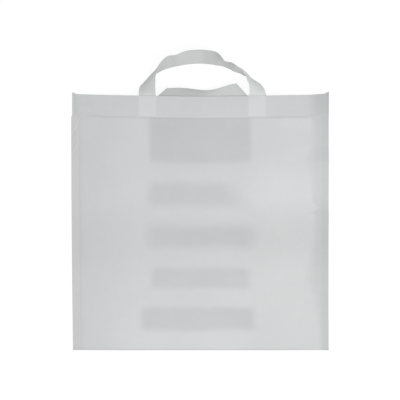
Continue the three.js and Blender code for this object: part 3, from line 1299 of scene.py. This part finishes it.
@dataclass
class ClothNodes:
    """A cloth's material under construction, with the sockets that will feed its shader.

    Attributes:
        material: The material.
        effects: The shared node groups.
        sketch: Its node tree.
        flat: Place on the flat cloth.
        tone: Factor on the colour.
        height: Height of the fine relief.
        smooth: 1 where the cloth is pressed smooth.
        color: Colour before the tone, as a value or a socket.
    """

    material: Material
    effects: ClothEffects
    sketch: Sketch
    flat: NodeSocket
    tone: NodeSocket
    height: NodeSocket
    smooth: NodeSocket
    color: object

    def band(self, value: NodeSocket, low: float, high: float, soft: float) -> NodeSocket:
        """Mask of a band of the value: 1 from low to high, easing to 0 over the soft width about each."""
        return self.effects.band(self.sketch, value, low, high, soft)

    def shade(self, change: NodeSocket) -> None:
        """Multiply the tone by 1 plus a change."""
        self.tone = self.sketch.math("MULTIPLY", self.tone, self.sketch.math("ADD", change, 1.0))

    def tint(self, shift: Rgb, share: NodeSocket) -> None:
        """Add to the colour a share of a shift."""
        self.color = self.sketch.vector("ADD", self.color, self.sketch.vector("SCALE", shift, share))

    def press(self, where: NodeSocket) -> None:
        """Make the cloth smooth where it is pressed."""
        self.smooth = self.sketch.math("MAXIMUM", self.smooth, where)

    def add_painted_shading(self, change: object, painted_shading: tuple[ToneField, ...], place: NodeSocket) -> NodeSocket:
        """Add to a change of tone the share of each field of painted light and shade.

        Args:
            change: The change so far.
            painted_shading: Fields of another tone.
            place: Place on which they lie.

        Returns:
            The change with all the swells.
        """
        for tone_field in painted_shading:
            mask = tone_field.mask(self.sketch, self.effects, place)
            change = self.sketch.math("MULTIPLY_ADD", mask, tone_field.share, change)
        return change


@dataclass(frozen=True)
class ClothFinish:
    """A spunbond cloth: its colour, its matt surface and its embossed points.

    Attributes:
        slot: Material slot that it finishes.
        color: Colour of the cloth, in linear light.
        roughness: Roughness of the open cloth.
        press: How much of the roughness is lost where the cloth is pressed.
        sheen: Weight of the sheen.
        specular: Level of the plain gloss.
        bond_pitch: Distance between bond points.
        bond_depth: Depth of a bond point.
        strand_height: Height of the fibre streaks.
        cloud_share: Change of tone between thin and thick places of the web.
    """

    slot: Slot
    color: Rgb
    roughness: float = 0.84
    press: float = 0.12
    sheen: float = 0.12
    specular: float = 0.28
    bond_pitch: float = 1.25 * MM
    bond_depth: float = 0.05 * MM
    strand_height: float = 0.02 * MM
    cloud_share: float = 0.1

    def start(self, effects: ClothEffects) -> ClothNodes:
        """Start the material with what every spunbond cloth has: bond points, streaks and clouds.

        Args:
            effects: The shared node groups.

        Returns:
            The material under construction.
        """
        material = bpy.data.materials.new(self.slot.value)
        material.use_nodes = True
        sketch = Sketch(material.node_tree)
        flat = sketch.add("ShaderNodeUVMap", {"uv_map": FLAT_MAP}).outputs["UV"]
        bond = sketch.group(effects.bond_points, Place=flat, Pitch=self.bond_pitch).outputs["Dent"]
        fibres = sketch.group(effects.fibre_web, Place=flat).outputs
        cloud = sketch.math("SUBTRACT", fibres["Cloud"], NOISE_MIDDLE)
        tone = sketch.math("MULTIPLY_ADD", cloud, self.cloud_share, 1.0)
        strand = sketch.math("MULTIPLY", fibres["Strand"], self.strand_height)
        height = sketch.math("MULTIPLY_ADD", bond, -self.bond_depth, strand)
        return ClothNodes(material, effects, sketch, flat, tone, height, bond, self.color)

    def finish(self, nodes: ClothNodes) -> Material:
        """Join the tone, the roughness and the height to the shader.

        Args:
            nodes: The material under construction.

        Returns:
            The finished material.
        """
        sketch = nodes.sketch
        inputs = nodes.material.node_tree.nodes["Principled BSDF"].inputs
        inputs["Specular IOR Level"].default_value = self.specular
        inputs["Sheen Weight"].default_value = self.sheen
        sketch.feed(inputs["Base Color"], sketch.vector("SCALE", nodes.color, nodes.tone))
        roughness = sketch.math("MULTIPLY_ADD", nodes.smooth, -self.press, self.roughness)
        sketch.feed(inputs["Roughness"], roughness)
        bump = sketch.add("ShaderNodeBump", Height=nodes.height, Distance=1.0)
        sketch.feed(inputs["Normal"], bump.outputs["Normal"])
        return nodes.material


@dataclass(frozen=True)
class StripFinish(ClothFinish):
    """The cloth of the handle strips, pressed smoother along both edges."""

    slot: Slot = Slot.STRIP
    color: Rgb = (0.668, 0.686, 0.687)
    edge_width: float = 1.5 * MM
    edge_tone: float = 0.03
    # Painted light and shade: broad lighter and darker bands along the strip.
    painted_shading: tuple[ToneField, ...] = ()

    def material(self, effects: ClothEffects, width: float) -> Material:
        """Make the strip's material.

        Args:
            effects: The shared node groups.
            width: Width of the strip.

        Returns:
            The material.
        """
        nodes = self.start(effects)
        sketch = nodes.sketch
        across = sketch.split(nodes.flat)["X"]
        inside = nodes.band(across, self.edge_width, width - self.edge_width, self.edge_width)
        edge = sketch.math("SUBTRACT", 1.0, inside)
        change = sketch.math("MULTIPLY", edge, -self.edge_tone)
        # Darker along the edges, plus the bands of painted light and shade along the strip.
        nodes.shade(nodes.add_painted_shading(change, self.painted_shading, nodes.flat))
        nodes.press(edge)
        return self.finish(nodes)


@dataclass(frozen=True)
class LoopFinish(StripFinish):
    """The cloth of the front strip, with painted shade along its loop, a little at the top and more on the
    right, and painted light towards the right leg.
    """

    painted_shading: tuple[ToneField, ...] = (
        painted_band(42, 70, -0.03, 12), painted_band(84, 172, -0.04, 20), painted_band(172, 202, -0.1, 14),
        painted_band(216, 228, -0.07, 8), painted_band(234, 253, 0.14, 14), painted_band(264, 300, 0.03, 12),
    )


@dataclass(frozen=True)
class SlumpedFinish(StripFinish):
    """The cloth of the back strip, with painted shade over all of it and more over the left part of what
    shows.
    """

    painted_shading: tuple[ToneField, ...] = (painted_band(-FAR, FAR, -0.05, 1), painted_band(-FAR, 160, -0.13, 40))


@dataclass(frozen=True)
class BagFinish(ClothFinish):
    """The cloth of the bag, with its welds, the ends of the strips behind the hem, five plain fields and
    painted light and shade.
    """

    slot: Slot = Slot.BAG
    color: Rgb = (0.637, 0.652, 0.665)
    # Changes of tone and of colour; those of the crease and of the curled side are painted shade.
    weld_tone: float = 0.06
    crease_painted_shade: float = 0.015
    patch_tone: float = 0.08
    margin_tone: float = 0.02
    curl_painted_shade: float = 0.042
    margin_shift: Rgb = (-0.006, -0.019, -0.026)
    field_shift: Rgb = (0.0, 0.0, -0.11)
    # Widths of the crease and of the weld along the hem, and the knurl of all the welds.
    crease_in: float = 9 * MM
    weld_half: float = 1.6 * MM
    weld_soft: float = 2.4 * MM
    weld_reach: float = 196 * MM
    weld_fade: float = 24 * MM
    margin_pitch: float = 2.6 * MM
    margin_depth: float = 0.06 * MM
    # The five fields, and the noise that stirs them and makes them uneven.
    field_stir: float = 9 * MM
    field_scale: float = 16.0
    field_detail: float = 1.0
    field_even: float = 0.7
    fields: tuple[ToneField, ...] = (
        ToneField(-88, 88, 102, 200, -0.108, 15, 14, 14), ToneField(-90, 62, 27, 68, -0.105, 24, 26, 60, 0.7),
        ToneField(-94, 94, -46, -8, -0.11, 27, 28, 44), ToneField(-85, 87, -117, -81, -0.109, 16, 20, 22),
        ToneField(-103, 95, -191, -151, -0.12, 15, 18, 18),
    )
    # Painted light and shade: broad, faint lighter and darker fields, and a few thin darker bands.
    painted_shading: tuple[ToneField, ...] = (
        painted_band(-80, 8, -0.036, 75), painted_band(-FAR, -222, -0.05, 4),
        ToneField(-90, 190, 76, 168, -0.014, 34, 40, 20), ToneField(95, FAR, -FAR, -85, -0.012, 34, 40),
        ToneField(80, FAR, -66, 4, -0.036, 75, 70), ToneField(88, FAR, 32, 98, 0.035, 34, 46),
        ToneField(-170, 70, -FAR, -165, 0.04, 70, 80, 110), ToneField(130, FAR, 186, FAR, -0.045, 6, 50),
        ToneField(140, 196, 162, 178, 0.03, 10, 30, 12), ToneField(200, FAR, 172, FAR, -0.025, 24, 26),
        ToneField(-FAR, -70, -FAR, 180, 0.013, 10, 1, 70), ToneField(-140, 130, 186, FAR, -0.014, 6, 50, 50),
        ToneField(-200, -105, 181.5, 185, -0.035, 3, 12, 30),
        ToneField(115, 196, 179.5, 185, -0.05, 3, 30, 12),
    )

    def field_tone(self, nodes: ClothNodes, below: NodeSocket) -> NodeSocket:
        """Change of tone on the front outside.

        It is the least of the fields' changes, stirred, uneven and kept below the hem, plus all the painted
        light and shade.
        The fields also shift the colour by their change.

        Args:
            nodes: The material under construction.
            below: 1 below the hem.

        Returns:
            The change.
        """
        sketch = nodes.sketch
        place = sketch.add("ShaderNodeTexCoord").outputs["Object"]
        front = sketch.mark(Mark.FRONT)
        noise = sketch.noise(place, Scale=self.field_scale, Detail=self.field_detail)
        stir = sketch.vector("SUBTRACT", noise["Color"], (NOISE_MIDDLE,) * 3)
        stirred = sketch.vector("ADD", place, sketch.vector("SCALE", stir, self.field_stir))
        change = 0.0
        for tone_field in self.fields:
            mask = tone_field.mask(sketch, nodes.effects, stirred)
            change = sketch.math("MINIMUM", change, sketch.math("MULTIPLY", mask, tone_field.share))
        uneven = sketch.math("MULTIPLY_ADD", noise["Fac"], 2 * (1 - self.field_even), self.field_even)
        shown = sketch.math("MULTIPLY", below, front)
        change = sketch.math("MULTIPLY", sketch.math("MULTIPLY", change, uneven), shown)
        nodes.tint(self.field_shift, change)
        # The painted light and shade lies on the front outside only.
        return sketch.math("MULTIPLY_ADD", nodes.add_painted_shading(0.0, self.painted_shading, stirred), front, change)

    def material(self, effects: ClothEffects, bag: BagWeb, strips: HandleStrip) -> Material:
        """Make the bag's material.

        Args:
            effects: The shared node groups.
            bag: The web, for the places of its welds.
            strips: The handle strips, for the places of their legs.

        Returns:
            The material.
        """
        nodes = self.start(effects)
        sketch = nodes.sketch
        across = sketch.split(nodes.flat)["X"]
        off_middle = sketch.math("ABSOLUTE", across)
        on_left = sketch.math("LESS_THAN", across, 0.0)
        depth = sketch.mark(Mark.DEPTH)

        # The weld along the hem, the seam at the inner edge of each welded margin, and the band of painted
        # shade along the left crease.
        weld = bag.hem_depth
        hem = nodes.band(depth, weld - self.weld_half, weld + self.weld_half, self.weld_soft)
        hem = sketch.math("MULTIPLY", hem, nodes.band(off_middle, -FAR_OFF, self.weld_reach, self.weld_fade))
        below = sketch.ease(depth, weld - bag.margin_step / 2, weld + bag.margin_step / 2)
        seam_shift, seam_start = bag.hem_margin - bag.side_weld, bag.half_width - bag.hem_margin
        seam = sketch.math("MULTIPLY_ADD", below, seam_shift, seam_start)
        outside = sketch.math("SUBTRACT", off_middle, seam)
        margin = nodes.band(outside, 0.0, FAR_OFF, self.weld_soft)
        crease = nodes.band(outside, -self.crease_in, self.weld_half, self.weld_soft)
        crease = sketch.math("MULTIPLY", crease, sketch.ease(outside, -2 * self.crease_in, 0.0))
        crease = sketch.math("MULTIPLY", crease, on_left)
        nodes.tint(self.margin_shift, sketch.math("MULTIPLY", margin, on_left))

        # The ends of the strips, which show as paler patches through the hem.
        half = strips.width / 2
        legs = [nodes.band(across, leg - half, leg + half, bag.patch_soft) for leg in strips.legs]
        in_hem = nodes.band(depth, -FAR_OFF, weld - strips.leg_margin, bag.patch_soft)
        patch = sketch.math("MULTIPLY", sketch.math("ADD", *legs), in_hem)

        change = sketch.math("MULTIPLY", patch, self.patch_tone)
        # Darker along the weld, the crease, the margins and the curled side; along the crease and the curled
        # side this is painted shade.
        losses = ((hem, self.weld_tone), (crease, self.crease_painted_shade), (margin, self.margin_tone),
                  (sketch.mark(Mark.SHADE), self.curl_painted_shade))
        for mask, share in losses:
            change = sketch.math("MULTIPLY_ADD", mask, -share, change)
        nodes.shade(sketch.math("ADD", change, self.field_tone(nodes, below)))

        # The welds, pressed smooth and knurled.
        pressed = sketch.math("MAXIMUM", margin, hem)
        knurl = sketch.group(effects.bond_points, Place=nodes.flat, Pitch=self.margin_pitch).outputs["Dent"]
        knurl = sketch.math("MULTIPLY", knurl, pressed)
        nodes.height = sketch.math("MULTIPLY_ADD", knurl, -self.margin_depth, nodes.height)
        nodes.press(pressed)
        return self.finish(nodes)


@dataclass
class Studio:
    """The white floor, even light round it, a soft light from the lower right, a near lamp and the camera."""

    floor_half: float = 6.0
    floor_color: float = 0.72
    floor_glow: float = 0.9
    floor_shown: float = 0.13
    sky: float = 0.71
    lamp_share: float = 0.2
    lamp_radius: float = 0.2
    lamp_place: tuple[float, float, float] = (0.2, -0.1, 0.55)
    lamp_color: Rgb = (1.0, 1.0, 0.91)
    side_share: float = 0.13
    side_slant: float = math.radians(40)
    side_turn: float = math.radians(58)
    side_spread: float = math.radians(50)
    camera_height: float = 3.0
    camera_center: Pair = (-0.9 * MM, 37 * MM)
    view_width: float = 701 * MM
    sensor: float = 36.0

    def seen_rays(self, sketch: Sketch) -> NodeSocket:
        """1 for rays that show the background itself: camera, glossy and transmission rays.

        Args:
            sketch: The node tree to add them to.

        Returns:
            The mask.
        """
        path = sketch.add("ShaderNodeLightPath").outputs
        shown = sketch.math("MAXIMUM", path["Is Camera Ray"], path["Is Glossy Ray"])
        return sketch.math("MAXIMUM", shown, path["Is Transmission Ray"])

    def build_floor(self) -> None:
        """Make the floor: a diffuse grey to the light, and to the eye a white glow with a faint shadow."""
        corners = np.array([(-1, -1, 0), (1, -1, 0), (1, 1, 0), (-1, 1, 0)]) * self.floor_half
        mesh = bpy.data.meshes.new("floor")
        mesh.from_pydata(corners.tolist(), [], [(0, 1, 2, 3)])
        material = bpy.data.materials.new("white_floor")
        material.use_nodes = True
        material.node_tree.nodes.clear()
        sketch = Sketch(material.node_tree)
        grey, pale = (
            sketch.add("ShaderNodeBsdfDiffuse", Color=(shade, shade, shade, 1.0))
            for shade in (self.floor_color, self.floor_shown)
        )
        glow = sketch.add("ShaderNodeEmission", Strength=self.floor_glow)
        white = sketch.add("ShaderNodeAddShader")
        mixed = sketch.add("ShaderNodeMixShader", Fac=self.seen_rays(sketch))
        output = sketch.add("ShaderNodeOutputMaterial", Surface=mixed.outputs["Shader"])
        joints = ((white.inputs[0], glow), (white.inputs[1], pale), (mixed.inputs[1], grey),
                  (mixed.inputs[2], white))
        for target, source in joints:
            sketch.feed(target, source.outputs[0])
        output.is_active_output = True
        mesh.materials.append(material)
        add_object("floor", mesh)

    def build_sky(self) -> None:
        """Light the bag evenly from all round, and show plain white behind it."""
        world = bpy.data.worlds.new("even_light")
        world.use_nodes = True
        bpy.context.scene.world = world
        sketch = Sketch(world.node_tree)
        strength = sketch.math("MULTIPLY_ADD", self.seen_rays(sketch), 1.0 - self.sky, self.sky)
        background = world.node_tree.nodes["Background"]
        background.inputs["Color"].default_value = (1.0, 1.0, 1.0, 1.0)
        sketch.feed(background.inputs["Strength"], strength)

    def build_lamp(self) -> None:
        """Hang the soft lamp, facing down and not shown to the camera.

        Straight below a round lamp of power P, at height h and radius r, a surface gets P over pi times
        the sum of their squares. The share is that light over pi.
        """
        light = bpy.data.lights.new("soft_lamp", "AREA")
        light.shape = "DISK"
        light.size = 2 * self.lamp_radius
        light.color = self.lamp_color
        light.energy = self.lamp_share * math.pi**2 * (self.lamp_place[2] ** 2 + self.lamp_radius**2)
        lamp = add_object("soft_lamp", light)
        lamp.location = self.lamp_place
        lamp.visible_camera = False

    def build_side_light(self) -> None:
        """Send the soft light down from the lower right, with its share of light falling on level cloth."""
        light = bpy.data.lights.new("side_light", "SUN")
        light.energy = self.side_share * math.pi / math.cos(self.side_slant)
        light.angle = self.side_spread
        add_object("side_light", light).rotation_euler = (self.side_slant, 0.0, self.side_turn)

    def build_camera(self) -> None:
        """Hang the camera straight above, with the lens that takes in the view's width on the floor."""
        data = bpy.data.cameras.new("camera")
        data.sensor_width = self.sensor
        data.lens = self.sensor * self.camera_height / self.view_width
        camera = add_object("camera", data)
        camera.location = (*self.camera_center, self.camera_height)
        bpy.context.scene.camera = camera

    def build(self) -> None:
        """Build the floor, the light and the camera, and keep colours as they are written."""
        self.build_floor()
        self.build_sky()
        self.build_lamp()
        self.build_side_light()
        self.build_camera()
        bpy.context.scene.view_settings.view_transform = "Standard"
        LOG.info("studio: white floor, even light, near lamp and side light")


def main() -> None:
    """Build the studio, the bag and both handles."""
    logging.basicConfig(level=logging.INFO, format="%(message)s")
    Studio().build()
    low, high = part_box("bag_body")
    bag = BagWeb(half_width=high.x, bottom_y=low.y, length=high.y - low.y, belly_height=high.z)
    front, back = FrontHandle(bag), BackHandle(bag)
    effects = ClothEffects()
    bag.build(front.legs, front.width, BagFinish().material(effects, bag, front))
    front.build(LoopFinish().material(effects, front.width))
    back.build(SlumpedFinish().material(effects, back.width))


if __name__ == "__main__":
    main()
